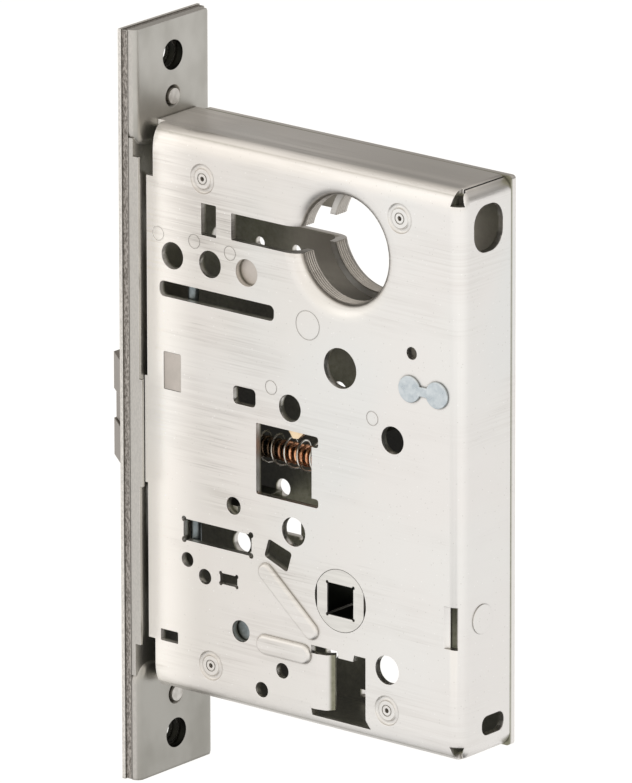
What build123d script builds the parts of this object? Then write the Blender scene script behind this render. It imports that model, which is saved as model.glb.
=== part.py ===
from build123d import *
import math
import os

# Mortise lock with a passage function: levers on both sides draw one sprung latchbolt.
# Frame, in mm: X = 0 is the outer face of the armor front and +X runs into the door.
# Y = 0 is mid-thickness of the case, and the plate that carries the ribs faces -Y.
# Z = 0 is mid-height of the armor front, +Z up.

# ---- driving dimensions ----
FRONT_HEIGHT = 203.2
FRONT_WIDTH = 31.75
ARMOR_THICK = 1.2
INNER_THICK = 1.8
EAR_THICK = 2.3
EAR_INNER_Z = 69.8
FRONT_SCREW_SPACING = 184.15
FRONT_SCREW_R = 3.95
INNER_SCREW_R = 3.3
ARMOR_HOLE_R = 2.8
ARMOR_SCREW_Z = 81.1
ARMOR_SCREW_R = 2.1

CASE_HEIGHT = 152.4
CASE_THICK = 22.2
CASE_FRONT_X = 7.7
CASE_BACK_X = 109.5
SHEET = 2.0
BEND_R = 3.7
END_BEND_RISE = 6.5

BACKSET = 69.85
HUB_Z = -40.0
CYLINDER_Z = HUB_Z + 93.66
THREAD_R = 14.3
SPINDLE = 8.7
JOURNAL_R = 8.35
THROUGH_BOLT_OFFSET = 15.5
THROUGH_BOLT_R = 3.9

LATCH_Z = -7.5
LATCH_HEIGHT = 28.0
LATCH_THICK = 15.8
LATCH_THROW = 19.05
LATCH_REAR_X = 12.0
TAIL_R = 1.6
TAIL_PLATE_X = 67.8
TAIL_PLATE_THICK = 2.0
CLIP_THICK = 0.9
SPRING_STOP_X = 61.6
TONGUE_PIN_X = 3.0
TONGUE_PIN_Y = 1.0
TONGUE_PIN_R = 1.5
TONGUE_HALF = 3.9

COLLAR_R = 18.8
COLLAR_DEPTH = 6.5
FLARE_DEPTH = 3.0
COLLAR_LIP_R = 14.35
THREAD_PITCH = 0.8
THREAD_DEPTH = 0.4
THREAD_TURNS = 4

HUB_BODY_R = 9.6
HUB_GAP_Y = 0.3
ARM_TIP = 26.0
ARM_X0 = -8.5
ARM_X1 = -3.0
LUG_HALF = 2.5
HUB_SPRING_Z = HUB_Z - 12.6
HUB_SPRING_Y = 5.9
HUB_SPRING_X0 = 50.0

SCREW_HEAD_R = 3.5
COVER_HEAD_R = 3.3
COVER_SCREW_R = 1.25
POST_R = 3.2
RIVET_XS = (93.0, 101.9)
RIVET_Z = 21.5
RIVET_R = 1.9
LEVER_X = 38.0
LEVER_Z = 2.8
LEVER_BOSS_R = 2.2
LEVER_Y0 = -8.6
LEVER_Y1 = -7.0
LEVER_PIN_R = 1.1
PLAY = 0.05

# ---- dimensions that follow ----
INNER_FRONT_X = ARMOR_THICK
CHANNEL_X = ARMOR_THICK + INNER_THICK
EAR_BACK_X = CHANNEL_X + EAR_THICK
FACE_Y = CASE_THICK / 2
WALL_Y = FACE_Y - SHEET
CASE_TOP = CASE_HEIGHT / 2
FLOOR_Z = CASE_TOP - SHEET
LATCH_TOP = LATCH_Z + LATCH_HEIGHT / 2
LATCH_BOTTOM = LATCH_Z - LATCH_HEIGHT / 2
LATCH_HALF = LATCH_THICK / 2
FAR = 30.0

# post positions, as (x, z), and the plain round openings, as (x, z, radius)
POSTS = [(24.2, 64.6), (89.4, 66.0), (26.4, -66.5), (85.2, -66.5)]
ROUND_OPENINGS = [
    (14.1, 42.2, 3.65), (BACKSET, 22.5, 5.4), (93.4, 31.0, 1.7), (87.1, 6.6, 3.7),
    (34.3, -21.4, 2.4), (24.6, -42.6, 2.1), (36.6, -55.0, 2.95), (50.5, -62.9, 2.1), (43.6, -69.5, 2.1),
    (BACKSET - THROUGH_BOLT_OFFSET, HUB_Z + THROUGH_BOLT_OFFSET, THROUGH_BOLT_R),
    (BACKSET + THROUGH_BOLT_OFFSET, HUB_Z - THROUGH_BOLT_OFFSET, THROUGH_BOLT_R),
]
NEAR_ROUND_OPENINGS = [(26.7, 42.2, 3.65), (38.9, 42.2, 3.65), (53.2, 8.6, 3.65), (18.7, -39.1, 2.0)]
FAR_ROUND_OPENINGS = [(26.7, 43.5, 1.6), (38.9, 43.5, 1.6), (53.2, 8.6, 2.4), (20.3, -39.1, 3.0)]
# rounded rectangular openings, as (x0, x1, z0, z1, corner radius)
RECT_OPENINGS = [
    (23.8, 28.8, 49.6, 58.2, 0.3),
    (33.8, BACKSET, CYLINDER_Z - 3.6, CYLINDER_Z + 3.6, 0.4),
    (11.0, 16.8, 5.8, 16.0, 0.3),
    (34.3, 41.8, 6.4, 11.3, 1.3),
    (57.0, 62.6, -0.4, 2.6, 0.8),
    (57.0, 62.6, -16.6, -14.2, 0.8),
    (9.5, 15.4, -62.9, -59.7, 0.3),
]
NEAR_RECT_OPENINGS = [(9.7, 48.0, 30.8, 35.0, 1.5), (41.9, 60.4, -16.6, 2.6, 0.6)]
FAR_RECT_OPENINGS = [(28.0, 48.0, 30.8, 35.0, 1.5), (47.0, 60.4, -16.6, 2.6, 0.6)]
# punched slots with relieved corners, as (x0, x1, z0, z1, relief radius)
FAR_RELIEVED_SLOTS = [(17.4, 40.3, -33.9, -28.1, 0.8)]
NEAR_RELIEVED_SLOTS = FAR_RELIEVED_SLOTS + [(29.7, 35.5, -43.4, -40.4, 0.55)]
# ring marks struck in the near plate, as (x, z, radius)
RING_MARKS = [(9.4, 47.4, 2.0), (21.5, 47.4, 2.0), (33.4, 46.4, 2.0), (47.0, 13.0, 2.0),
              (80.5, 11.2, 2.0), (59.2, 32.0, 4.0)]


# ---- shape helpers ----
def block(x0, x1, y0, y1, z0, z1):
    return Pos((x0 + x1) / 2, (y0 + y1) / 2, (z0 + z1) / 2) * Box(x1 - x0, y1 - y0, z1 - z0)


def rod_x(y, z, r, x0, x1):
    return Pos((x0 + x1) / 2, y, z) * Rot(0, 90, 0) * Cylinder(r, x1 - x0)


def rod_y(x, z, r, y0, y1):
    return Pos(x, (y0 + y1) / 2, z) * Rot(90, 0, 0) * Cylinder(r, y1 - y0)


def rod_z(x, y, r, z0, z1):
    return Pos(x, y, (z0 + z1) / 2) * Cylinder(r, z1 - z0)


def along_y(sketch, y0, y1):
    """Extrude a sketch drawn in (x, z) from y0 to y1."""
    return extrude(Plane.XZ.offset(-y1) * sketch, amount=y1 - y0, dir=(0, -1, 0))


def rounded_rect(x0, x1, z0, z1, r):
    return Pos((x0 + x1) / 2, (z0 + z1) / 2) * RectangleRounded(x1 - x0, z1 - z0, r)


def rounded_polygon(points, r):
    outline = Polygon(*points, align=None)
    return fillet(outline.vertices(), r)


def mirror_y(shape):
    return mirror(shape, about=Plane.XZ)


# ---- openings of the two side plates ----
def bottom_cut_out():
    """Opening at the foot of a plate, with a small tab left standing in its top edge."""
    points = [(60.1, -53.8), (68.8, -53.8), (69.2, -55.6), (74.0, -55.6), (74.4, -53.8),
              (78.2, -53.8), (78.2, -70.6), (79.6, -73.0), (60.1, -73.0)]
    return Polygon(*points, align=None)


def plate_openings(rounds, rects, relieved):
    cuts = [rod_y(x, z, r, -FAR, FAR) for x, z, r in ROUND_OPENINGS + rounds]
    cuts += [along_y(rounded_rect(*opening), -FAR, FAR) for opening in RECT_OPENINGS + rects]
    for x0, x1, z0, z1, r in relieved:
        cuts.append(block(x0, x1, -FAR, FAR, z0, z1))
        cuts += [rod_y(x, z, r, -FAR, FAR) for x in (x0 + 0.2, x1 - 0.2) for z in (z0 + 0.1, z1 - 0.1)]
    link_opening = [(46.0, -27.9), (53.8, -30.4), (52.2, -35.9), (44.5, -32.9)]
    cuts.append(along_y(rounded_polygon(link_opening, 0.8), -FAR, FAR))
    cuts.append(along_y(bottom_cut_out(), -FAR, FAR))
    cuts.append(rod_y(BACKSET, HUB_Z, JOURNAL_R + 0.15, -FAR, FAR))
    cuts.append(rod_y(BACKSET, CYLINDER_Z, THREAD_R, -FAR, FAR))
    return cuts


def cylinder_collar():
    """Dished collar drawn in from the near plate, with ring grooves in place of the thread."""
    inner_y = -FACE_Y + COLLAR_DEPTH
    flare = COLLAR_R - COLLAR_LIP_R
    points = []
    for step in range(9):
        turn = math.radians(90 * step / 8)
        points.append((COLLAR_R - flare * math.sin(turn), -FACE_Y + FLARE_DEPTH * (1 - math.cos(turn))))
    first = inner_y - THREAD_TURNS * THREAD_PITCH - 0.3
    root = THREAD_R + THREAD_DEPTH
    for groove in range(THREAD_TURNS):
        y = first + groove * THREAD_PITCH
        points += [(THREAD_R, y), (THREAD_R, y + 0.35), (root, y + 0.5), (root, y + 0.65)]
    points += [(THREAD_R, inner_y - 0.3), (THREAD_R, inner_y), (16.4, inner_y), (16.6, inner_y - 2.0),
               (17.2, inner_y - 3.0), (COLLAR_R, -WALL_Y)]
    ring = revolve(Polygon(*points, align=None), Axis.Y)
    return Pos(BACKSET, 0, CYLINDER_Z) * ring


# ---- front ----
def latch_opening(clearance):
    half = LATCH_HALF + clearance
    return block(-1, 12, -half, half, LATCH_BOTTOM - clearance, LATCH_TOP + clearance)


def front_holes(screw_r):
    """Holes for the two door screws, with those for the two armor screws."""
    holes = [rod_x(0, s * FRONT_SCREW_SPACING / 2, screw_r, -1, 12) for s in (-1, 1)]
    holes += [rod_x(0, s * ARMOR_SCREW_Z, ARMOR_SCREW_R, -1, 12) for s in (-1, 1)]
    return holes


def countersinks(z, top_r, bottom_r, depth):
    return [Pos(depth / 2, 0, s * z) * Rot(0, 90, 0) * Cone(top_r, bottom_r, depth) for s in (-1, 1)]


def armor_front():
    half = FRONT_WIDTH / 2
    plate = block(0, ARMOR_THICK, -half, half, -FRONT_HEIGHT / 2, FRONT_HEIGHT / 2)
    plate = fillet(plate.faces().sort_by(Axis.X)[0].edges(), 0.35)
    plate -= latch_opening(0.5)
    plate -= front_holes(ARMOR_HOLE_R)
    plate -= countersinks(FRONT_SCREW_SPACING / 2, ARMOR_HOLE_R + 0.4, ARMOR_HOLE_R, 0.4)
    plate -= countersinks(ARMOR_SCREW_Z, SCREW_HEAD_R, ARMOR_SCREW_R, ARMOR_THICK)
    return plate


def inner_front():
    plate = block(INNER_FRONT_X, CHANNEL_X, -15.5, 15.5, -FRONT_HEIGHT / 2 + 0.2, FRONT_HEIGHT / 2 - 0.2)
    plate -= latch_opening(0.6)
    plate -= front_holes(INNER_SCREW_R)
    return plate


def ear(side):
    """Thick end of the front, with a rounded back edge and rounded inner corners."""
    half = 15.3
    z0, z1 = sorted((side * EAR_INNER_Z, side * FRONT_HEIGHT / 2))
    plate = block(CHANNEL_X, EAR_BACK_X, -half, half, z0, z1)
    corners = plate.edges().filter_by(Axis.X).sort_by(lambda edge: side * edge.center().Z)
    plate = fillet(corners[:2], 5.0)
    back = plate.faces().sort_by(Axis.X)[-1].edges().sort_by(lambda edge: side * edge.center().Z)
    plate = fillet(back[:-1], 2.0)
    plate -= Pos(CHANNEL_X, half, side * FRONT_HEIGHT / 2) * Rot(45, 0, 0) * Box(20, 2.4, 2.4)
    return plate


def front_channel():
    """Ears at both ends and, between them, a thin floor whose two long edges turn back."""
    half = 15.3
    channel = block(CHANNEL_X, 4.4, -half, half, -EAR_INNER_Z - 3, EAR_INNER_Z + 3)
    channel += [ear(-1), ear(1)]
    for side in (-1, 1):
        y0, y1 = sorted((side * half, side * 14.5))
        channel += block(CHANNEL_X + 0.5, 6.2, y0, y1, -64.0, 68.0)
        channel += block(6.0, 7.1, y0, y1, -20.7, 8.3)
        z = side * ARMOR_SCREW_Z
        mouth = Cone(ARMOR_SCREW_R, ARMOR_SCREW_R + 0.9, 0.9)
        channel -= Pos(EAR_BACK_X - 0.45, 0, z) * Rot(0, 90, 0) * mouth
    channel -= latch_opening(0.8)
    channel -= front_holes(FRONT_SCREW_R)
    return channel


def armor_screws():
    """Two small flat-head screws that hold the armor front on the ears."""
    screws = []
    for head in countersinks(ARMOR_SCREW_Z, SCREW_HEAD_R, ARMOR_SCREW_R, ARMOR_THICK):
        z = head.center().Z
        screw = head + rod_x(0, z, ARMOR_SCREW_R, ARMOR_THICK / 2, EAR_BACK_X + 0.5)
        screw -= block(-0.1, 0.6, -0.4, 0.4, z - 2.6, z + 2.6)
        screws.append(screw)
    return Compound(children=screws)


# ---- case ----
def case_ribs():
    """Two pressed ribs beside the hub."""
    ribs = []
    for x0, z0, x1, z1, width in ((45.3, -37.1, 60.2, -50.0, 4.9), (44.9, -56.8, 57.5, -56.8, 5.4)):
        length = math.hypot(x1 - x0, z1 - z0)
        turn = math.degrees(math.atan2(z1 - z0, x1 - x0))
        outline = Pos((x0 + x1) / 2, (z0 + z1) / 2) * Rot(0, 0, turn) * SlotCenterToCenter(length, width)
        rib = along_y(outline, -FACE_Y - 1.1, -FACE_Y + 0.5)
        rib = fillet(rib.faces().sort_by(Axis.Y)[0].edges(), 1.0)
        ribs.append(rib)
    return ribs


def ring_groove(x, z, r, y_face, width, depth):
    groove = rod_y(x, z, r, y_face - 1, y_face + depth)
    return groove - rod_y(x, z, r - width, y_face - 2, y_face + 2)


def struck_marks():
    marks = [ring_groove(x, z, r, -FACE_Y, 0.28, 0.12) for x, z, r in RING_MARKS]
    for x, z in POSTS:
        marks.append(Pos(x, -FACE_Y - 0.15, z) * Rot(90, 0, 0) * Torus(3.3, 0.75))
        marks.append(ring_groove(x, z, 1.6, -FACE_Y, 0.3, 0.2))
        marks.append(rod_y(x, z, 0.65, -FACE_Y - 1, -FACE_Y + 1.6))
    return marks


def bent_section(y0, y1, half_height, across, rise):
    """Section across the case, in (y, z), with soft elliptical bends at its two -Y corners."""
    section = Pos((y0 + y1) / 2, 0) * Rectangle(y1 - y0, 2 * half_height)
    for side in (-1, 1):
        section -= Pos(y0 + across / 2, side * (half_height - rise / 2)) * Rectangle(across, rise)
        section += Pos(y0 + across, side * (half_height - rise)) * Ellipse(across, rise)
    return section


def bent_form(x0, x1, section, back_r):
    """Section drawn out along X, with its upright -Y edge at the back rounded."""
    form = extrude(Plane.YZ.offset(x0) * section, amount=x1 - x0)
    upright = form.edges().filter_by(Axis.Z).group_by(Axis.X)[-1].sort_by(Axis.Y)[0]
    return fillet(upright, back_r)


def case_form():
    section = bent_section(-FACE_Y, WALL_Y, CASE_TOP, BEND_R, END_BEND_RISE)
    return bent_form(CASE_FRONT_X, CASE_BACK_X, section, BEND_R)


def case_shell():
    """Near plate with its top, bottom and back walls turned towards +Y."""
    section = bent_section(-WALL_Y, FACE_Y, FLOOR_Z, BEND_R - SHEET, END_BEND_RISE - SHEET)
    return case_form() - bent_form(CASE_FRONT_X - 5, CASE_BACK_X - SHEET, section, BEND_R - SHEET)


def case_body():
    shell = case_shell()
    shell += block(5.5, 8.0, -FACE_Y, -WALL_Y, -62.8, 62.4)
    shell += block(4.6, 6.0, -FACE_Y, -WALL_Y, -20.7, 8.3)
    for z0, z1 in ((FLOOR_Z, CASE_TOP), (-CASE_TOP, -FLOOR_Z)):
        shell += block(EAR_BACK_X, 8.0, -6.0, WALL_Y, z0, z1)
    shell -= rod_y(BACKSET, CYLINDER_Z, COLLAR_R, -FACE_Y - 1, -WALL_Y + 0.5)
    shell += cylinder_collar() & case_form()
    for side in (-1, 1):
        # open seam between the end wall and the back wall, widening to a relief at the corner
        z0, z1 = sorted((side * (FLOOR_Z - 1.2), side * (CASE_TOP + 1)))
        shell -= block(CASE_BACK_X - SHEET - 0.45, CASE_BACK_X - SHEET, -8.0, FACE_Y, z0, z1)
        relief = [(106.7, side * 77.0), (107.5, side * 77.0), (109.0, side * 72.1), (105.7, side * 72.1)]
        shell -= along_y(Polygon(*relief, align=None), -FACE_Y - 1, -7.0)
    # narrow slot in the bend, between two rolled lips
    shell -= rod_z(106.3, -FACE_Y - 1.0, 2.5, HUB_Z - 5.8, HUB_Z + 5.6)
    shell -= block(105.2, 107.3, -FACE_Y - 1, -7.2, HUB_Z - 5.8, HUB_Z + 5.6)
    shell -= extrude(Plane.YZ.offset(105) * Pos(0, 64.8) * RectangleRounded(11.8, 12.6, 5.0), amount=10)
    shell -= extrude(Plane.YZ.offset(105) * Pos(2.2, -68.2) * RectangleRounded(9.0, 5.2, 2.2), amount=10)
    shell += rod_x(-2.3, HUB_Z + 1.1, 3.9, CASE_BACK_X - 1, CASE_BACK_X + 0.25)
    shell += case_ribs()
    shell -= plate_openings(NEAR_ROUND_OPENINGS, NEAR_RECT_OPENINGS, NEAR_RELIEVED_SLOTS)
    shell -= struck_marks()
    shell -= [rod_y(x, RIVET_Z, RIVET_R, -FACE_Y - 1, 0) for x in RIVET_XS]
    return shell + plate_tongue()


def plate_tongue():
    """Tongue of the near plate pressed inwards at the side of the bottom opening."""
    outline = [(59.9, -11.1), (62.0, -11.1), (64.6, -10.4), (66.2, -8.6), (65.2, -6.9), (63.4, -8.5),
               (61.6, -9.1), (59.9, -9.1)]
    return Pos(0, 0, -71.0) * extrude(Polygon(*outline, align=None), amount=15.0)


def cover_screw_head(x, z):
    cone = Cone(COVER_HEAD_R, COVER_SCREW_R, SHEET)
    return Pos(x, FACE_Y - SHEET / 2, z) * Rot(90, 0, 0) * cone


def case_cover():
    """Flat far plate, with most of the openings of the near plate."""
    plate = block(CASE_FRONT_X, CASE_BACK_X, WALL_Y, FACE_Y, -CASE_TOP, CASE_TOP)
    plate = fillet(plate.edges().filter_by(Axis.Y), 1.0)
    plate += block(5.5, 8.0, WALL_Y, FACE_Y, -62.8, 62.4)
    plate += block(4.6, 6.0, WALL_Y, FACE_Y, -20.7, 8.3)
    plate -= rod_y(BACKSET, CYLINDER_Z, COLLAR_R, WALL_Y - 0.5, FACE_Y + 1)
    plate += mirror_y(cylinder_collar())
    plate -= plate_openings(FAR_ROUND_OPENINGS, FAR_RECT_OPENINGS, FAR_RELIEVED_SLOTS)
    plate -= [cover_screw_head(x, z) for x, z in POSTS]
    return plate + mirror_y(plate_tongue())


def case_posts():
    """Four tapped posts that space the two side plates apart."""
    posts = []
    for x, z in POSTS:
        post = rod_y(x, z, POST_R, -WALL_Y, WALL_Y)
        posts.append(post - rod_y(x, z, COVER_SCREW_R, 1.0, WALL_Y + 1))
    return Compound(children=posts)


def cover_screws():
    screws = []
    for x, z in POSTS:
        screw = cover_screw_head(x, z) + rod_y(x, z, COVER_SCREW_R, 2.0, WALL_Y + 0.5)
        screw -= block(x - 2.2, x + 2.2, FACE_Y - 0.7, FACE_Y + 1, z - 0.35, z + 0.35)
        screw -= block(x - 0.35, x + 0.35, FACE_Y - 0.7, FACE_Y + 1, z - 2.2, z + 2.2)
        screws.append(screw)
    return Compound(children=screws)


# ---- fixed pieces inside ----
def latch_guide():
    """Block above the latchbolt, keyed into the small windows of both side plates."""
    guide = block(9.5, 30.0, -WALL_Y, WALL_Y, LATCH_TOP + 0.9, 18.0)
    guide = chamfer(guide.edges().filter_by(Axis.Y), 0.8)
    guide += block(11.1, 16.7, -FACE_Y + 0.1, FACE_Y - 0.1, 7.9, 15.9)
    for side in (-1, 1):
        y0, y1 = sorted((side * (FACE_Y - 0.1), side * WALL_Y))
        guide += block(11.1, 16.7, y0, y1, 5.9, 15.9)
    return guide


def latch_shelf():
    """Channel-shaped shelf under the latchbolt."""
    shelf = block(8.2, 34.0, -WALL_Y, WALL_Y, LATCH_BOTTOM - 2.5, LATCH_BOTTOM - 0.6)
    for side in (-1, 1):
        y0, y1 = sorted((side * WALL_Y, side * (WALL_Y - 1.5)))
        shelf += block(20.0, 30.0, y0, y1, LATCH_BOTTOM - 5.0, LATCH_BOTTOM - 1.0)
    return shelf


def spring_stop():
    """Angle bracket that the two latch springs push against, slotted for the tail."""
    stop = block(SPRING_STOP_X, SPRING_STOP_X + 1.8, -WALL_Y, WALL_Y, -12.0, 4.6)
    stop += block(SPRING_STOP_X, SPRING_STOP_X + 12.0, -WALL_Y, WALL_Y, 2.8, 4.6)
    half = TAIL_R + 0.6
    stop -= block(SPRING_STOP_X - 1, SPRING_STOP_X + 4, -half, half, -13.0, LATCH_Z + half)
    return stop


def hub_spring_seat():
    """Upright seat for the two springs that return the hubs."""
    seat = block(HUB_SPRING_X0 - 1.8, HUB_SPRING_X0, -WALL_Y, WALL_Y, HUB_SPRING_Z - 4.5, HUB_SPRING_Z + 4.5)
    for side in (-1, 1):
        seat += rod_x(side * HUB_SPRING_Y, HUB_SPRING_Z, 1.6, HUB_SPRING_X0 - 0.5, HUB_SPRING_X0 + 2.5)
    return seat


def rivet_plate():
    """Backing plate riveted through the near plate, its two heads joined by a bar outside."""
    plate = block(89.2, 105.6, -WALL_Y, -WALL_Y + 1.6, RIVET_Z - 4.2, RIVET_Z + 4.2)
    plate = fillet(plate.edges().filter_by(Axis.Y), 1.5)
    for x in RIVET_XS:
        plate += rod_y(x, RIVET_Z, RIVET_R, -FACE_Y - 0.3, -WALL_Y + 0.5)
    heads = Sketch() + [Pos(x, RIVET_Z) * Circle(3.55) for x in RIVET_XS]
    heads += Pos(sum(RIVET_XS) / 2, RIVET_Z) * Rectangle(6, 2.6)
    outside = along_y(heads, -FACE_Y - 0.7, -FACE_Y)
    outside = fillet(outside.faces().sort_by(Axis.Y)[0].edges(), 0.3)
    return plate + outside


def stop_plate():
    """Small plate fixed behind the near plate, seen through its third round opening."""
    plate = block(33.0, 45.0, -WALL_Y, -WALL_Y + 1.5, 36.8, 48.2)
    return fillet(plate.edges().filter_by(Axis.Y), 2.0)


def link_rods():
    """Two upright rods behind the front, one above and one below the latchbolt."""
    rods = [rod_z(18.0, -7.2, 1.4, 18.0, 45.0), rod_z(18.5, -7.2, 1.4, -37.0, LATCH_BOTTOM - 2.5)]
    return Compound(children=rods)


def lower_stud():
    """Stepped stud on the far plate, seen through the opening near the foot of the case."""
    return rod_y(35.3, -55.6, 2.6, -8.8, WALL_Y) + rod_y(35.3, -55.6, 3.6, 4.0, WALL_Y)


# ---- latch ----
def latchbolt():
    outline = [(-LATCH_THROW, LATCH_HALF), (-LATCH_THROW, 4.4), (-3.9, -LATCH_HALF),
               (LATCH_REAR_X, -LATCH_HALF), (LATCH_REAR_X, LATCH_HALF)]
    bolt = Pos(0, 0, LATCH_BOTTOM) * extrude(Polygon(*outline, align=None), amount=LATCH_HEIGHT)
    bolt = fillet(bolt.edges().filter_by(Axis.Z).group_by(Axis.X)[0], 0.6)
    half = TONGUE_HALF + 0.2
    bolt -= block(-LATCH_THROW - 1, 7.5, -LATCH_HALF - 1, LATCH_HALF + 1, LATCH_Z - half, LATCH_Z + half)
    bolt -= tongue_pin()
    bolt -= rod_x(0, LATCH_Z, TAIL_R, 9.0, LATCH_REAR_X + 1)
    return bolt


def latch_tongue():
    """Anti-friction tongue, a little inside the bevel of the latchbolt."""
    outline = [(-18.3, 5.0), (-18.3, 4.5), (-4.6, -6.2), (-1.0, -6.6), (6.5, -2.5), (6.5, 5.0)]
    tongue = Pos(0, 0, LATCH_Z - TONGUE_HALF) * extrude(Polygon(*outline, align=None), amount=2 * TONGUE_HALF)
    tongue -= rod_z(TONGUE_PIN_X, TONGUE_PIN_Y, TONGUE_PIN_R + PLAY, LATCH_Z - 9.0, LATCH_Z + 9.0)
    return tongue


def tongue_pin():
    return rod_z(TONGUE_PIN_X, TONGUE_PIN_Y, TONGUE_PIN_R, LATCH_Z - 9.0, LATCH_Z + 9.0)


def latch_tail():
    """Rod from the latchbolt through both springs, grooved for its clip."""
    clip_x = TAIL_PLATE_X + TAIL_PLATE_THICK
    tail = rod_x(0, LATCH_Z, TAIL_R, 9.0, clip_x + 3.0)
    groove = rod_x(0, LATCH_Z, TAIL_R + 1, clip_x, clip_x + CLIP_THICK)
    groove -= rod_x(0, LATCH_Z, TAIL_R - 0.4, clip_x - 1, clip_x + 2)
    return tail - groove


def tail_plate():
    """Yoke on the tail whose two wings are pushed back by the hub arms."""
    x1 = TAIL_PLATE_X + TAIL_PLATE_THICK
    plate = block(TAIL_PLATE_X, x1, -6.6, 6.6, -12.0, -3.0)
    for side in (-1, 1):
        y0, y1 = sorted((side * 5.0, side * 8.4))
        plate += block(TAIL_PLATE_X, x1, y0, y1, -21.0, -3.0)
    plate -= rod_x(0, LATCH_Z, TAIL_R, TAIL_PLATE_X - 1, x1 + 1)
    return plate


def tail_clip():
    """Open retaining ring in the groove at the end of the tail."""
    x0 = TAIL_PLATE_X + TAIL_PLATE_THICK
    clip = rod_x(0, LATCH_Z, 4.0, x0, x0 + CLIP_THICK) - rod_x(0, LATCH_Z, TAIL_R - 0.4, x0 - 1, x0 + 2)
    return clip - block(x0 - 1, x0 + 2, -0.9, 0.9, LATCH_Z - 6, LATCH_Z)


def coil(x0, x1, y, z, mean_r, wire_r, pitch):
    """Compression spring along X, wound at one pitch between two end planes."""
    height = x1 - x0 - 2 * wire_r - 0.1
    path = Helix(pitch=pitch, height=height, radius=mean_r)
    section = Plane(origin=path @ 0, z_dir=path % 0) * Circle(wire_r)
    spring = sweep(section, path=path, is_frenet=True)
    return Pos(x0 + wire_r + 0.05, y, z) * Rot(0, 90, 0) * spring


def latch_spring():
    return coil(LATCH_REAR_X, SPRING_STOP_X, 0, LATCH_Z, 3.9, 0.3, 3.8)


def inner_spring():
    return coil(LATCH_REAR_X, SPRING_STOP_X, 0, LATCH_Z, 2.4, 0.5, 1.8)


# ---- hubs ----
def near_hub():
    """Hub with a square hole, an arm that draws the latch and a lug for its return spring."""
    hub = rod_y(0, 0, JOURNAL_R, -FACE_Y, -WALL_Y)
    hub -= block(7.7, 12, -FACE_Y - 1, -WALL_Y, -12, 12)
    hub -= block(-12, -7.7, -FACE_Y - 1, -WALL_Y, -12, 12)
    hub += rod_y(0, 0, HUB_BODY_R, -WALL_Y + 0.1, -HUB_GAP_Y)
    hub += rod_y(0, 0, JOURNAL_R - 0.8, -WALL_Y - 0.2, -WALL_Y + 0.3)
    arm = along_y(rounded_rect(ARM_X0, ARM_X1, 0, ARM_TIP, 1.2), -8.9, -7.1)
    lug = block(-LUG_HALF, LUG_HALF, -8.8, -3.0, -15.0, 0)
    hub += [arm, lug]
    half = SPINDLE / 2
    hub -= block(-half, half, -FACE_Y - 1, 0, -half, half)
    hub -= [rod_y(x, z, 0.45, -FACE_Y - 1, 0) for x in (-half, half) for z in (-half, half)]
    return Pos(BACKSET, 0, HUB_Z) * hub


def far_hub():
    return mirror_y(near_hub())


def near_hub_spring():
    return coil(HUB_SPRING_X0, BACKSET - LUG_HALF, -HUB_SPRING_Y, HUB_SPRING_Z, 2.3, 0.5, 2.1)


def far_hub_spring():
    return mirror_y(near_hub_spring())


# ---- brass trip lever ----
def trip_lever():
    """Flat bar behind the near plate, with a tooth that hangs just above the latch springs."""
    bar = [(LEVER_X, 1.7), (50.7, 1.7), (52.1, -0.3), (53.9, -0.1), (55.8, 1.7), (57.0, 1.7), (57.0, 3.9),
           (LEVER_X, 3.9)]
    lever = along_y(Polygon(*bar, align=None), LEVER_Y0, LEVER_Y1)
    lever += rod_y(LEVER_X, LEVER_Z, LEVER_BOSS_R, LEVER_Y0, LEVER_Y1)
    return lever - rod_y(LEVER_X, LEVER_Z, LEVER_PIN_R + PLAY, -FACE_Y, FACE_Y)


def lever_pin():
    """Headed stud on the near plate that carries the trip lever."""
    pin = rod_y(LEVER_X, LEVER_Z, LEVER_PIN_R, -WALL_Y, LEVER_Y1 + 0.7)
    pin += rod_y(LEVER_X, LEVER_Z, LEVER_BOSS_R, -WALL_Y, LEVER_Y0 - PLAY)
    return pin + rod_y(LEVER_X, LEVER_Z, LEVER_BOSS_R, LEVER_Y1 + PLAY, LEVER_Y1 + 0.7)


NODES = {
    "armor_front": armor_front, "inner_front": inner_front, "front_channel": front_channel,
    "armor_screws": armor_screws, "case_body": case_body, "case_cover": case_cover,
    "case_posts": case_posts, "cover_screws": cover_screws, "latch_guide": latch_guide,
    "latch_shelf": latch_shelf, "spring_stop": spring_stop, "hub_spring_seat": hub_spring_seat,
    "rivet_plate": rivet_plate, "stop_plate": stop_plate, "link_rods": link_rods,
    "lower_stud": lower_stud, "latchbolt": latchbolt, "latch_tongue": latch_tongue,
    "tongue_pin": tongue_pin, "latch_tail": latch_tail, "tail_plate": tail_plate,
    "tail_clip": tail_clip, "latch_spring": latch_spring, "inner_spring": inner_spring,
    "near_hub": near_hub, "far_hub": far_hub, "near_hub_spring": near_hub_spring,
    "far_hub_spring": far_hub_spring, "trip_lever": trip_lever, "lever_pin": lever_pin,
}

os.makedirs("parts", exist_ok=True)
for name, make in NODES.items():
    export_step(make(), f"parts/{name}.step")
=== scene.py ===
import math

import bmesh
import bpy
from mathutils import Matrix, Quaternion, Vector


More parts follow.
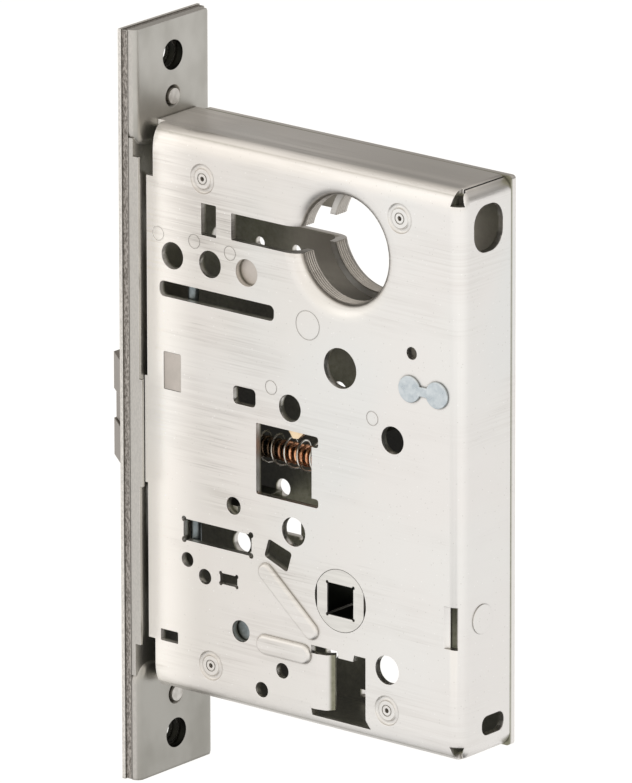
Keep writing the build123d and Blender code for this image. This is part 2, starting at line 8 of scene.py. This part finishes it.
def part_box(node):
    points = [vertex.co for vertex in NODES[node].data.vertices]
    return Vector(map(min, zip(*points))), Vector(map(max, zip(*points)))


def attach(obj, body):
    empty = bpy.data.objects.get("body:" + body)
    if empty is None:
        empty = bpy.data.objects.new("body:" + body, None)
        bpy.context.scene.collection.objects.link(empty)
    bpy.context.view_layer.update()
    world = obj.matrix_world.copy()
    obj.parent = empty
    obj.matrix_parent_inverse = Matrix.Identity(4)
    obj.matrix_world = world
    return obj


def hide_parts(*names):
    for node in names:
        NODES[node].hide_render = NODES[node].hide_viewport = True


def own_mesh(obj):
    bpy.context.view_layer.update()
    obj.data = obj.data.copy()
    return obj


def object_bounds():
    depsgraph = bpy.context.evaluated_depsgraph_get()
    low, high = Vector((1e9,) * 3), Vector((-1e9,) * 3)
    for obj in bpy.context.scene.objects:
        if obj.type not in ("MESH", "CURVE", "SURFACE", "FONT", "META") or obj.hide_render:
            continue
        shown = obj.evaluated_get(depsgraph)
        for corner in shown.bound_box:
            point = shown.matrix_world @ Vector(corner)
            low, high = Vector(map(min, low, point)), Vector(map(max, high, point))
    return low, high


# Looks of a sheet-steel mortise lock. Units are metres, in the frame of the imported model:
# X = 0 is the outer face of the armor front, +X runs into the door, -Y faces the viewer, +Z is up.
MM = 0.001

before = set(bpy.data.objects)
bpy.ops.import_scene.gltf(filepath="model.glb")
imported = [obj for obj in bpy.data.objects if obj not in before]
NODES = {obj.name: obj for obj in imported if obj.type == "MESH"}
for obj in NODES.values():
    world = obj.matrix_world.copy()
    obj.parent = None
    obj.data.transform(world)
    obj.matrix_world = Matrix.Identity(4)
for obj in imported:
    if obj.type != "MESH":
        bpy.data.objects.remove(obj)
CAD_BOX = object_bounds()
FACE_Y = -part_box("near_hub")[0].y
BACK_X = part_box("case_cover")[1].x
CASE_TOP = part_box("case_body")[1].z
HUB_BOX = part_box("near_hub")
# the cylinder holes are straight above the hubs
CYLINDER_X = (HUB_BOX[0].x + HUB_BOX[1].x) / 2
HUB_Z = -40.0 * MM
CYLINDER_Z = 53.66 * MM
FRONT_SCREW_Z = 92.075 * MM
ARMOR_HOLE_R = 2.8 * MM
LINER_HOLE_R = 3.3 * MM
CHANNEL_HOLE_R = 3.95 * MM

# where one tone gives way to another (finish, painted shade, glow): pairs run from the first tone to the
# second
INNER_SIDE = (1.0 * MM, 1.95 * MM)
COLLAR_RIM = (16.6 * MM, 17.6 * MM)
THREAD_ZONE = (14.95 * MM, 14.6 * MM)
SPINDLE_RIM = (4.5 * MM, 4.38 * MM)
FRONT_STRIP = (24.0 * MM, 4.0 * MM)
PLATE_METAL = (6.0 * MM, 27.0 * MM)
DRAWN_LINE_Y = -4.6 * MM
DRAWN_LINE_HALF = 2.6 * MM
# painted shade: the coils turn dark in front of these X
OUTER_COIL_SHADE_X = 30.0 * MM
INNER_COIL_SHADE_X = 42.5 * MM
EDGE_LIGHT_R = 0.2 * MM
EDGE_EASE = 0.22 * MM

# camera: where it looks from, in degrees and metres
CAMERA_AZIMUTH = 39.34
CAMERA_ELEVATION = 17.04
CAMERA_ROLL = -0.105
CAMERA_DISTANCE = 3.3585
CAMERA_AIM = Vector((0.05361, -0.00095, 0.01080))
CAMERA_LENS = 600.2

# light that the floor and the room send into the metal
FLOOR_LEFT = 0.885
FLOOR_RIGHT = 1.03
FLOOR_BELOW = 0.12
ROOM_FRONT = 1.05
ROOM_BACK_LOW = 0.22
ROOM_BACK_HIGH = 0.7
KEY_POWER = 1.6
FILL_POWER = 0.8

# light that the plates give off: on the strip behind the front, and on their inner sides
STRIP_GLOW = 0.40
INSIDE_GLOW = 0.014


# ---- node helpers ----
class Surface:
    """Node tree of one procedural material, in the object's own coordinates."""

    def __init__(self, name):
        self.material = bpy.data.materials.new(name)
        self.material.use_nodes = True
        self.tree = self.material.node_tree
        self.tree.nodes.clear()
        self.shader = self.add("ShaderNodeBsdfPrincipled")
        output = self.add("ShaderNodeOutputMaterial")
        self.tree.links.new(self.shader.outputs["BSDF"], output.inputs["Surface"])
        self.place = self.add("ShaderNodeTexCoord").outputs["Object"]
        self.geometry = self.add("ShaderNodeNewGeometry")

    def add(self, kind, **settings):
        node = self.tree.nodes.new(kind)
        for key, value in settings.items():
            setattr(node, key, value)
        return node

    def put(self, socket, value):
        """Link an output, or set a plain value, on an input socket."""
        if isinstance(value, bpy.types.NodeSocket):
            self.tree.links.new(value, socket)
        else:
            socket.default_value = value

    def math(self, operation, a, b=0.0, clamp=False):
        node = self.add("ShaderNodeMath", operation=operation, use_clamp=clamp)
        self.put(node.inputs[0], a)
        self.put(node.inputs[1], b)
        return node.outputs[0]

    def axis(self, vector, index):
        node = self.add("ShaderNodeSeparateXYZ")
        self.put(node.inputs[0], vector)
        return node.outputs[index]

    def span(self, value, low, high, out_low=0.0, out_high=1.0):
        """Map value from low..high to out_low..out_high with smooth, clamped ends."""
        node = self.add("ShaderNodeMapRange", interpolation_type="SMOOTHSTEP")
        for socket, entry in zip(node.inputs, (value, low, high, out_low, out_high)):
            self.put(socket, entry)
        return node.outputs[0]

    def stretched(self, scale):
        node = self.add("ShaderNodeMapping")
        self.put(node.inputs["Vector"], self.place)
        self.put(node.inputs["Scale"], scale)
        return node.outputs[0]

    def noise(self, scale, detail=3.0, roughness=0.55):
        node = self.add("ShaderNodeTexNoise")
        self.put(node.inputs["Vector"], self.stretched(scale))
        self.put(node.inputs["Scale"], 1.0)
        self.put(node.inputs["Detail"], detail)
        self.put(node.inputs["Roughness"], roughness)
        return node.outputs["Fac"]

    def specks(self, per_metre, size):
        """Small round specks, 1 inside and 0 outside."""
        node = self.add("ShaderNodeTexVoronoi")
        self.put(node.inputs["Vector"], self.place)
        self.put(node.inputs["Scale"], per_metre)
        return self.span(node.outputs["Distance"], size, size * 0.5)

    def blend(self, factor, a, b, mode="MIX"):
        node = self.add("ShaderNodeMix", data_type="RGBA", blend_type=mode)
        colors = [s for s in node.inputs if s.type == "RGBA"]
        self.put(node.inputs[0], factor)
        self.put(colors[0], a)
        self.put(colors[1], b)
        return [s for s in node.outputs if s.type == "RGBA"][0]

    def edge(self, radius):
        """About 1 on sharp edges and 0 on open faces."""
        bevel = self.add("ShaderNodeBevel", samples=6)
        self.put(bevel.inputs["Radius"], radius)
        dot = self.add("ShaderNodeVectorMath", operation="DOT_PRODUCT")
        self.put(dot.inputs[0], bevel.outputs[0])
        self.put(dot.inputs[1], self.geometry.outputs["True Normal"])
        return self.span(dot.outputs["Value"], 0.995, 0.86)

    def corner(self, reach):
        """About 1 in corners and along the feet of raised or sunk shapes, 0 on open faces; the mask for
        painted shade.
        """
        node = self.add("ShaderNodeAmbientOcclusion", samples=8)
        self.put(node.inputs["Distance"], reach)
        return self.span(node.outputs["AO"], 0.92, 0.45)

    def relief(self, height, depth, bevel_radius):
        """Bump of the given depth over edges that are eased by bevel_radius."""
        bevel = self.add("ShaderNodeBevel", samples=6)
        self.put(bevel.inputs["Radius"], bevel_radius)
        bump = self.add("ShaderNodeBump")
        self.put(bump.inputs["Height"], height)
        self.put(bump.inputs["Distance"], depth)
        self.put(bump.inputs["Normal"], bevel.outputs[0])
        self.put(self.shader.inputs["Normal"], bump.outputs[0])


def rgba(red, green, blue):
    return (red, green, blue, 1.0)


# ---- metals ----
def lies_flat(s):
    """1 on faces that look up or down."""
    return s.span(s.math("ABSOLUTE", s.axis(s.geometry.outputs["True Normal"], 2)), 0.5, 0.9)


def grain(s, along_x=28.0, across=1300.0):
    """Fine brushing that runs round the sheet: along X on the plates, along Y on the back wall."""
    upright = s.noise((along_x, along_x, across), 4.0, 0.6)
    flat = s.noise((along_x, across, along_x), 4.0, 0.6)
    mixed = s.add("ShaderNodeMix")
    s.put(mixed.inputs[0], lies_flat(s))
    s.put(mixed.inputs[2], upright)
    s.put(mixed.inputs[3], flat)
    return mixed.outputs[0]


def reach(s, a, b):
    """Length of the offset (a, b)."""
    return s.math("SQRT", s.math("ADD", s.math("MULTIPLY", a, a), s.math("MULTIPLY", b, b)))


def cylinder_reach(s):
    """Distance from the axis of the cylinder holes."""
    x = s.math("SUBTRACT", s.axis(s.place, 0), CYLINDER_X)
    z = s.math("SUBTRACT", s.axis(s.place, 2), CYLINDER_Z)
    return reach(s, x, z)


def drawn_line(s):
    """Shallow hollow that a bend leaves in the end walls of the case."""
    off = s.math("ABSOLUTE", s.math("SUBTRACT", s.axis(s.place, 1), DRAWN_LINE_Y))
    return s.math("MULTIPLY", s.span(off, DRAWN_LINE_HALF, 0.0), lies_flat(s))


def zinc_sheet(name, inside):
    """Bright zinc plate outside; inside(s) says where its inner side is, which gets painted shade."""
    s = Surface(name)
    streaks = grain(s)
    scratches = s.noise((55.0, 55.0, 2600.0), 2.0, 0.5)
    clouds = s.noise((34.0, 34.0, 34.0), 2.0)
    rubbed = s.span(s.noise((22.0, 22.0, 48.0), 3.0), 0.42, 0.66)
    towards_back = s.span(s.axis(s.place, 0), 8.0 * MM, 100.0 * MM)
    color = s.blend(towards_back, rgba(0.755, 0.728, 0.69), rgba(0.835, 0.828, 0.812))
    worn = s.math("MULTIPLY", rubbed, s.span(towards_back, 0.0, 0.9, 0.85, 0.2))
    brushed = s.math("MULTIPLY", s.span(streaks, 0.62, 0.38), worn)
    color = s.blend(brushed, color, rgba(0.55, 0.52, 0.485))
    scratched = s.math("MULTIPLY", s.span(scratches, 0.38, 0.25), worn)
    color = s.blend(scratched, color, rgba(0.42, 0.40, 0.37))
    color = s.blend(s.span(clouds, 0.35, 0.65, 0.0, 0.3), color, rgba(0.835, 0.795, 0.775))
    cool = s.noise((21.0, 30.0, 17.0), 1.0)
    color = s.blend(s.span(cool, 0.52, 0.72, 0.0, 0.35), color, rgba(0.775, 0.81, 0.815))
    color = s.blend(s.math("MULTIPLY", s.specks(620.0, 0.13), 0.3), color, rgba(0.42, 0.40, 0.37))
    color = s.blend(s.math("MULTIPLY", s.specks(430.0, 0.10), 0.6), color, rgba(0.97, 0.96, 0.95))
    # painted highlight along sharp edges
    color = s.blend(s.math("MULTIPLY", s.edge(EDGE_LIGHT_R), 0.6), color, rgba(0.95, 0.94, 0.92))
    # painted shade: the top and bottom walls darken towards the back
    shaded_end = s.math("MULTIPLY", lies_flat(s), s.span(towards_back, 0.35, 1.0, 0.0, 0.6))
    color = s.blend(shaded_end, color, rgba(0.55, 0.52, 0.48))
    # painted shade in corners and along the feet of raised or sunk shapes
    color = s.blend(s.math("MULTIPLY", s.corner(1.0 * MM), 0.75), color, rgba(0.16, 0.145, 0.12))
    # painted shade: the inner side is a dark mottled olive, and painted light makes it lighter round the
    # cylinder
    from_cylinder = cylinder_reach(s)
    dark = s.blend(s.noise((620.0, 620.0, 620.0), 5.0, 0.7), rgba(0.10, 0.105, 0.06), rgba(0.42, 0.41, 0.32))
    dark = s.blend(s.span(from_cylinder, 46.0 * MM, 24.0 * MM, 0.0, 0.8), dark, rgba(0.44, 0.405, 0.36))
    shaded_inside = inside(s)
    color = s.blend(s.span(from_cylinder, *THREAD_ZONE), color, rgba(0.56, 0.53, 0.49))
    s.put(s.shader.inputs["Base Color"], s.blend(shaded_inside, color, dark))
    # painted light: the strip behind the front glows, to keep the tone of the plate, though the front shades
    # it
    plate_face = s.span(s.math("ABSOLUTE", s.axis(s.geometry.outputs["True Normal"], 1)), 0.7, 0.95)
    strip = s.math("MULTIPLY", plate_face, s.span(s.axis(s.place, 0), *FRONT_STRIP, 0.0, STRIP_GLOW))
    glow = s.math("MULTIPLY", s.math("SUBTRACT", 1.0, shaded_inside), strip)
    s.put(s.shader.inputs["Emission Color"], rgba(0.95, 0.91, 0.85))
    s.put(s.shader.inputs["Emission Strength"], s.math("ADD", glow, s.math("MULTIPLY", shaded_inside, INSIDE_GLOW)))
    s.put(s.shader.inputs["Metallic"], s.span(s.axis(s.place, 0), *PLATE_METAL, 0.45, 1.0))
    rough = s.span(streaks, 0.25, 0.75, 0.30, 0.38)
    s.put(s.shader.inputs["Roughness"], s.math("ADD", rough, s.math("MULTIPLY", shaded_inside, 0.08)))
    fine = s.math("ADD", s.math("MULTIPLY", streaks, 0.05), s.math("MULTIPLY", clouds, 0.04))
    s.relief(s.math("SUBTRACT", fine, drawn_line(s)), 0.10 * MM, 0.16 * MM)
    return s.material


def off_cylinder(s):
    """0 on the rims of the cylinder holes and 1 elsewhere."""
    return s.span(cylinder_reach(s), *COLLAR_RIM)


def inside_body(s):
    """1 on the inner side of the near plate and of the three walls."""
    depth_near = s.math("ADD", s.axis(s.place, 1), FACE_Y)
    depth_back = s.math("SUBTRACT", BACK_X, s.axis(s.place, 0))
    depth_end = s.math("SUBTRACT", CASE_TOP, s.math("ABSOLUTE", s.axis(s.place, 2)))
    depth = s.math("MINIMUM", depth_near, s.math("MINIMUM", depth_back, depth_end))
    return s.math("MULTIPLY", s.span(depth, *INNER_SIDE), off_cylinder(s))


def inside_cover(s):
    """1 on the inner side of the far plate."""
    depth = s.math("SUBTRACT", FACE_Y, s.axis(s.place, 1))
    return s.math("MULTIPLY", s.span(depth, *INNER_SIDE), off_cylinder(s))


def satin_steel(name, light, dark, stretch, rough=(0.28, 0.42), edge_light=0.5, shade=None):
    """Plain steel, grain along the axis whose stretch is small; shade(s) is 1 where it is near black."""
    s = Surface(name)
    streaks = s.noise(stretch, 4.0, 0.6)
    clouds = s.noise((70.0, 70.0, 70.0), 3.0)
    color = s.blend(s.span(streaks, 0.3, 0.7), dark, light)
    color = s.blend(s.span(clouds, 0.4, 0.75, 0.0, 0.35), color, dark)
    # painted highlight along sharp edges
    color = s.blend(s.math("MULTIPLY", s.edge(EDGE_LIGHT_R), edge_light), color, rgba(0.92, 0.91, 0.89))
    # painted shade in corners and along the feet of raised or sunk shapes
    color = s.blend(s.math("MULTIPLY", s.corner(0.8 * MM), 0.5), color, rgba(0.12, 0.11, 0.09))
    if shade is not None:
        # painted shade: near black where shade(s) is 1, inside the spindle hole of the hubs
        color = s.blend(shade(s), color, rgba(0.03, 0.034, 0.024))
    s.put(s.shader.inputs["Base Color"], color)
    s.put(s.shader.inputs["Metallic"], 1.0)
    s.put(s.shader.inputs["Roughness"], s.span(streaks, 0.25, 0.75, *rough))
    s.relief(streaks, 0.012 * MM, 0.15 * MM)
    return s.material


def spindle_hole(s):
    """1 on the walls of the square spindle hole, inside its rim; the mask for painted shade."""
    x = s.math("ABSOLUTE", s.math("SUBTRACT", s.axis(s.place, 0), CYLINDER_X))
    z = s.math("ABSOLUTE", s.math("SUBTRACT", s.axis(s.place, 2), HUB_Z))
    within = s.span(s.math("MAXIMUM", x, z), *SPINDLE_RIM)
    below_face = s.span(s.math("ABSOLUTE", s.axis(s.place, 1)), FACE_Y, FACE_Y - 1.0 * MM)
    return s.math("MULTIPLY", within, below_face)


def front_steel(name, light, dark, side_light, side_dark, hole_r):
    """Rolled plate: smooth faces with painted shade that darkens them towards the bottom, and cut sides with
    a fine tooth.

    Each of its two fixing holes, of radius hole_r, gets painted shade inside.
    """
    s = Surface(name)
    soft = s.noise((60.0, 60.0, 45.0), 3.0)
    grains = s.noise((2600.0, 2600.0, 1100.0), 2.0, 0.6)
    cut = s.span(s.math("ABSOLUTE", s.axis(s.geometry.outputs["True Normal"], 0)), 0.7, 0.4)
    face = s.blend(s.span(soft, 0.35, 0.7), light, dark)
    side = s.blend(s.span(grains, 0.36, 0.64), side_dark, side_light)
    # painted shade: the faces darken towards the bottom
    face = s.blend(s.span(s.axis(s.place, 2), 20.0 * MM, -60.0 * MM, 0.0, 0.3), face, rgba(0.2, 0.195, 0.17))
    color = s.blend(cut, face, side)
    # painted highlight along sharp edges
    color = s.blend(s.math("MULTIPLY", s.edge(EDGE_LIGHT_R), 0.5), color, rgba(0.95, 0.94, 0.92))
    # painted shade in corners and along the feet of raised or sunk shapes
    color = s.blend(s.math("MULTIPLY", s.corner(1.0 * MM), 0.6), color, rgba(0.14, 0.13, 0.11))
    # painted shade: each fixing hole is near black inside
    height = s.math("SUBTRACT", s.math("ABSOLUTE", s.axis(s.place, 2)), FRONT_SCREW_Z)
    bored = s.span(reach(s, height, s.axis(s.place, 1)), hole_r + 0.12 * MM, hole_r + 0.02 * MM)
    color = s.blend(bored, color, rgba(0.015, 0.015, 0.012))
    s.put(s.shader.inputs["Base Color"], color)
    s.put(s.shader.inputs["Metallic"], 1.0)
    s.put(s.shader.inputs["Roughness"], s.math("ADD", 0.34, s.math("MULTIPLY", cut, 0.06)))
    s.relief(s.blend(cut, soft, grains), 0.03 * MM, 0.15 * MM)
    return s.material


def wire(name, light, dark, rough, shade_x):
    """Drawn wire with patches of tarnish, and painted shade that darkens it in front of the X given last."""
    s = Surface(name)
    patches = s.noise((420.0, 420.0, 420.0), 3.0, 0.6)
    color = s.blend(s.span(patches, 0.35, 0.68), light, dark)
    # painted shade: the wire turns near black in front of that X, where the coil lies in shade
    coil_shade = s.span(s.axis(s.place, 0), shade_x + 2.0 * MM, shade_x - 2.0 * MM, 0.0, 0.93)
    color = s.blend(coil_shade, color, rgba(0.11, 0.085, 0.06))
    s.put(s.shader.inputs["Base Color"], color)
    s.put(s.shader.inputs["Metallic"], 1.0)
    s.put(s.shader.inputs["Roughness"], s.span(patches, 0.3, 0.7, rough, rough + 0.14))
    bump = s.add("ShaderNodeBump")
    s.put(bump.inputs["Height"], patches)
    s.put(bump.inputs["Distance"], 0.02 * MM)
    s.put(s.shader.inputs["Normal"], bump.outputs[0])
    return s.material


def white_floor():
    """Plain pale floor: white to the camera; the metal sees it brighter to the right and dark below."""
    material = bpy.data.materials.new("floor_white")
    material.use_nodes = True
    tree = material.node_tree
    shader = tree.nodes["Principled BSDF"]
    place = tree.nodes.new("ShaderNodeNewGeometry")
    axes = tree.nodes.new("ShaderNodeSeparateXYZ")
    sweep = tree.nodes.new("ShaderNodeMapRange")
    seen = tree.nodes.new("ShaderNodeLightPath")
    glow = tree.nodes.new("ShaderNodeMix")
    # the bright part lies to the front and right: how far a point is along (1, -1)
    along = tree.nodes.new("ShaderNodeMath")
    along.operation = "SUBTRACT"
    tree.links.new(place.outputs["Position"], axes.inputs[0])
    tree.links.new(axes.outputs["X"], along.inputs[0])
    tree.links.new(axes.outputs["Y"], along.inputs[1])
    tree.links.new(along.outputs[0], sweep.inputs["Value"])
    spread = (("From Min", 0.15), ("From Max", 0.75), ("To Min", FLOOR_LEFT), ("To Max", FLOOR_RIGHT))
    for key, value in spread:
        sweep.inputs[key].default_value = value
    tree.links.new(seen.outputs["Is Camera Ray"], glow.inputs[0])
    # painted shadow: the floor is dark to the metal straight below the part
    steep = tree.nodes.new("ShaderNodeSeparateXYZ")
    shade = tree.nodes.new("ShaderNodeMapRange")
    held = tree.nodes.new("ShaderNodeMath")
    held.operation = "MULTIPLY"
    tree.links.new(place.outputs["Incoming"], steep.inputs[0])
    tree.links.new(steep.outputs["Z"], shade.inputs["Value"])
    for key, value in (("From Min", 0.72), ("From Max", 0.93), ("To Min", 1.0), ("To Max", FLOOR_BELOW)):
        shade.inputs[key].default_value = value
    tree.links.new(sweep.outputs[0], held.inputs[0])
    tree.links.new(shade.outputs[0], held.inputs[1])
    tree.links.new(held.outputs[0], glow.inputs[2])
    glow.inputs[3].default_value = 1.0
    tree.links.new(glow.outputs[0], shader.inputs["Emission Strength"])
    shader.inputs["Base Color"].default_value = rgba(0.06, 0.06, 0.06)
    shader.inputs["Roughness"].default_value = 0.9
    shader.inputs["Emission Color"].default_value = rgba(1.0, 0.985, 0.965)
    return material


# ---- mesh helpers ----
STEPS_PER_TURN = 36
CLOSED_PITCH = 2.05  # wire radii from one closed turn to the next


def tube(name, points, radius, sides=12):
    """Closed tube along a list of points, carried with least twist."""
    mesh = bpy.data.meshes.new(name)
    shape = bmesh.new()
    rings = []
    side = None
    for index, point in enumerate(points):
        ahead = points[min(index + 1, len(points) - 1)] - points[max(index - 1, 0)]
        tangent = ahead.normalized()
        if side is None:
            side = tangent.orthogonal().normalized()
        side = (side - tangent * side.dot(tangent)).normalized()
        other = tangent.cross(side)
        ring = []
        for step in range(sides):
            turn = 2 * math.pi * step / sides
            ring.append(shape.verts.new(point + radius * (math.cos(turn) * side + math.sin(turn) * other)))
        rings.append(ring)
    for first, second in zip(rings, rings[1:]):
        for step in range(sides):
            following = (step + 1) % sides
            shape.faces.new((first[step], first[following], second[following], second[step]))
    shape.faces.new(list(reversed(rings[0])))
    shape.faces.new(rings[-1])
    bmesh.ops.recalc_face_normals(shape, faces=shape.faces)
    shape.to_mesh(mesh)
    shape.free()
    mesh.shade_smooth()
    piece = bpy.data.objects.new(name, mesh)
    bpy.context.scene.collection.objects.link(piece)
    return piece


def coil(name, node, wire_r, turns, material):
    """Compression spring with closed end turns, in the box of its CAD node."""
    low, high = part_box(node)
    centre = (low + high) / 2
    radius = (high.z - low.z) / 2 - wire_r
    # one turn at each end is closed, and the turns between them share the rest of the length
    end_pitch = CLOSED_PITCH * wire_r
    free = (high.x - low.x) - 2 * wire_r - 2 * end_pitch
    points = []
    for step in range(int((turns + 2) * STEPS_PER_TURN) + 1):
        turn = step / STEPS_PER_TURN
        end_rise = end_pitch * (min(turn, 1.0) + max(0.0, turn - 1.0 - turns))
        rise = end_rise + free * min(max((turn - 1.0) / turns, 0.0), 1.0)
        angle = 2 * math.pi * turn
        points.append(Vector((low.x + wire_r + rise, centre.y + radius * math.cos(angle),
                              centre.z + radius * math.sin(angle))))
    piece = tube(name, points, wire_r)
    piece.data.materials.append(material)
    return piece


def dress(material, *names):
    for name in names:
        slots = NODES[name].data.materials
        slots.clear()
        slots.append(material)


def ease_edges(name, width):
    """Round the sharp edges of a CAD node's shown mesh."""
    node = NODES[name]
    weld = node.modifiers.new("weld", "WELD")
    weld.merge_threshold = 0.002 * MM
    bevel = node.modifiers.new("bevel", "BEVEL")
    bevel.width = width
    bevel.segments = 2
    bevel.limit_method = "ANGLE"
    bevel.angle_limit = math.radians(40)
    bevel.harden_normals = True


# ---- materials on the CAD nodes ----
case_zinc = zinc_sheet("case_zinc", inside_body)
cover_zinc = zinc_sheet("cover_zinc", inside_cover)
armor = front_steel("armor_satin", rgba(0.66, 0.64, 0.61), rgba(0.56, 0.54, 0.51),
                    rgba(0.80, 0.77, 0.73), rgba(0.62, 0.60, 0.57), ARMOR_HOLE_R)
liner = front_steel("liner_steel", rgba(0.50, 0.48, 0.45), rgba(0.34, 0.32, 0.29),
                    rgba(0.44, 0.41, 0.38), rgba(0.17, 0.155, 0.14), LINER_HOLE_R)
channel = front_steel("channel_zinc", rgba(0.53, 0.52, 0.49), rgba(0.40, 0.39, 0.36),
                      rgba(0.56, 0.54, 0.51), rgba(0.50, 0.485, 0.46), CHANNEL_HOLE_R)
# painted shade: dark steel for the parts inside the case stands for the shade they sit in
inner_dark = satin_steel("inner_steel", rgba(0.36, 0.36, 0.31), rgba(0.14, 0.145, 0.11), (120, 120, 900))
guide_metal = satin_steel("guide_metal", rgba(0.64, 0.59, 0.55), rgba(0.56, 0.52, 0.48),
                          (300, 300, 300), (0.4, 0.5))
screw_steel = satin_steel("screw_steel", rgba(0.72, 0.70, 0.67), rgba(0.50, 0.48, 0.45), (500, 500, 500))
rivet_zinc = satin_steel("rivet_zinc", rgba(0.68, 0.73, 0.76), rgba(0.50, 0.56, 0.60),
                         (420, 420, 420), (0.25, 0.4))
# painted shade: a darker copy of the rivet zinc, for the rods and stud that sit in shade inside the case
rod_zinc_shaded = satin_steel("rod_zinc_shaded", rgba(0.30, 0.34, 0.36), rgba(0.14, 0.165, 0.17), (420, 420, 420))
latch_steel = satin_steel("latch_steel", rgba(0.33, 0.30, 0.27), rgba(0.26, 0.235, 0.21),
                           (900, 900, 60), (0.36, 0.5))
hub_steel = satin_steel("hub_steel", rgba(0.80, 0.79, 0.76), rgba(0.70, 0.69, 0.66),
                         (60, 60, 1100), (0.32, 0.42),
                         shade=spindle_hole)
lever_brass = satin_steel("lever_brass", rgba(0.93, 0.76, 0.54), rgba(0.80, 0.60, 0.38),
                          (300, 300, 300), (0.3, 0.45))
spring_wire = wire("spring_wire", rgba(0.82, 0.80, 0.76), rgba(0.48, 0.45, 0.40), 0.2, OUTER_COIL_SHADE_X)
copper_wire = wire("copper_wire", rgba(0.95, 0.52, 0.30), rgba(0.55, 0.24, 0.13), 0.2, INNER_COIL_SHADE_X)

dress(case_zinc, "case_body")
dress(cover_zinc, "case_cover")
dress(armor, "armor_front")
dress(liner, "inner_front")
dress(channel, "front_channel")
dress(inner_dark, "case_posts", "latch_shelf", "spring_stop", "hub_spring_seat", "latch_tail", "tail_plate",
      "lever_pin")
dress(guide_metal, "latch_guide", "stop_plate")
dress(screw_steel, "armor_screws", "cover_screws", "tongue_pin", "tail_clip")
dress(rivet_zinc, "rivet_plate")
dress(rod_zinc_shaded, "link_rods", "lower_stud")
dress(latch_steel, "latchbolt", "latch_tongue")
dress(hub_steel, "near_hub", "far_hub")
dress(lever_brass, "trip_lever")
for name in ("case_body", "case_cover"):
    ease_edges(name, EDGE_EASE)

# ---- springs, wound in the boxes of their CAD nodes ----
SPRINGS = (
    ("latch_coil", "latch_spring", 0.30 * MM, 11.0, spring_wire, "latch_slide"),
    ("inner_coil", "inner_spring", 0.50 * MM, 25.0, copper_wire, "latch_slide"),
    ("near_hub_coil", "near_hub_spring", 0.50 * MM, 6.0, spring_wire, "near_hub_turn"),
    ("far_hub_coil", "far_hub_spring", 0.50 * MM, 6.0, spring_wire, "far_hub_turn"),
)
for name, node, wire_r, turns, material, joint in SPRINGS:
    piece = coil(name, node, wire_r, turns, material)
    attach(piece, "case")
    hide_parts(node)
    if joint == "latch_slide":
        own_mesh(piece)
    else:
        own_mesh(piece)

# ---- stage ----
floor_mesh = bpy.data.meshes.new("floor")
FLOOR_HALF = 12.0
floor_z = CAD_BOX[0].z
corners = [(-FLOOR_HALF, -FLOOR_HALF, floor_z), (FLOOR_HALF, -FLOOR_HALF, floor_z),
           (FLOOR_HALF, FLOOR_HALF, floor_z), (-FLOOR_HALF, FLOOR_HALF, floor_z)]
floor_mesh.from_pydata(corners, [], [(0, 1, 2, 3)])
floor_mesh.materials.append(white_floor())
floor = bpy.data.objects.new("floor", floor_mesh)
bpy.context.scene.collection.objects.link(floor)


def softbox(name, place, target, width, height, power, color=(1.0, 1.0, 1.0)):
    light = bpy.data.lights.new(name, "AREA")
    light.shape = "RECTANGLE"
    light.size = width
    light.size_y = height
    light.energy = power
    light.color = color
    lamp = bpy.data.objects.new(name, light)
    lamp.location = place
    lamp.rotation_mode = "QUATERNION"
    lamp.rotation_quaternion = (Vector(target) - Vector(place)).to_track_quat("-Z", "Y")
    bpy.context.scene.collection.objects.link(lamp)


CENTRE = (CAD_BOX[0] + CAD_BOX[1]) / 2
softbox("key_left", (-1.7, -1.9, 0.9), CENTRE, 1.2, 1.2, KEY_POWER, (1.0, 0.985, 0.96))
softbox("fill_right", (1.5, -2.0, 0.9), CENTRE, 1.4, 0.9, FILL_POWER)


def studio_sky():
    """Room light: a bright wall in front, and behind it darkness that clears overhead."""
    world = bpy.data.worlds.new("studio")
    world.use_nodes = True
    tree = world.node_tree
    place = tree.nodes.new("ShaderNodeTexCoord")
    axes = tree.nodes.new("ShaderNodeSeparateXYZ")
    height = tree.nodes.new("ShaderNodeMapRange")
    facing = tree.nodes.new("ShaderNodeMapRange")
    level = tree.nodes.new("ShaderNodeMix")
    tree.links.new(place.outputs["Generated"], axes.inputs[0])
    tree.links.new(axes.outputs["Z"], height.inputs["Value"])
    tree.links.new(axes.outputs["Y"], facing.inputs["Value"])
    climb = (("From Min", 0.1), ("From Max", 0.8), ("To Min", ROOM_BACK_LOW), ("To Max", ROOM_BACK_HIGH))
    for key, value in climb:
        height.inputs[key].default_value = value
    for key, value in (("From Min", 0.3), ("From Max", -0.3)):
        facing.inputs[key].default_value = value
    tree.links.new(facing.outputs[0], level.inputs[0])
    tree.links.new(height.outputs[0], level.inputs[2])
    level.inputs[3].default_value = ROOM_FRONT
    background = tree.nodes["Background"]
    background.inputs["Color"].default_value = rgba(1.0, 0.96, 0.905)
    tree.links.new(level.outputs[0], background.inputs["Strength"])
    bpy.context.scene.world = world


studio_sky()
bpy.context.scene.view_settings.view_transform = "Standard"

camera = bpy.data.objects.new("camera", bpy.data.cameras.new("camera"))
azimuth, elevation = math.radians(CAMERA_AZIMUTH), math.radians(CAMERA_ELEVATION)
back = Vector((math.sin(azimuth) * math.cos(elevation), -math.cos(azimuth) * math.cos(elevation),
               math.sin(elevation)))
camera.location = CAMERA_AIM + back * CAMERA_DISTANCE
camera.rotation_mode = "QUATERNION"
roll = Quaternion((0, 0, 1), math.radians(CAMERA_ROLL))
camera.rotation_quaternion = (-back).to_track_quat("-Z", "Y") @ roll
camera.data.lens = CAMERA_LENS
camera.data.clip_end = 50.0
bpy.context.scene.collection.objects.link(camera)
bpy.context.scene.camera = camera
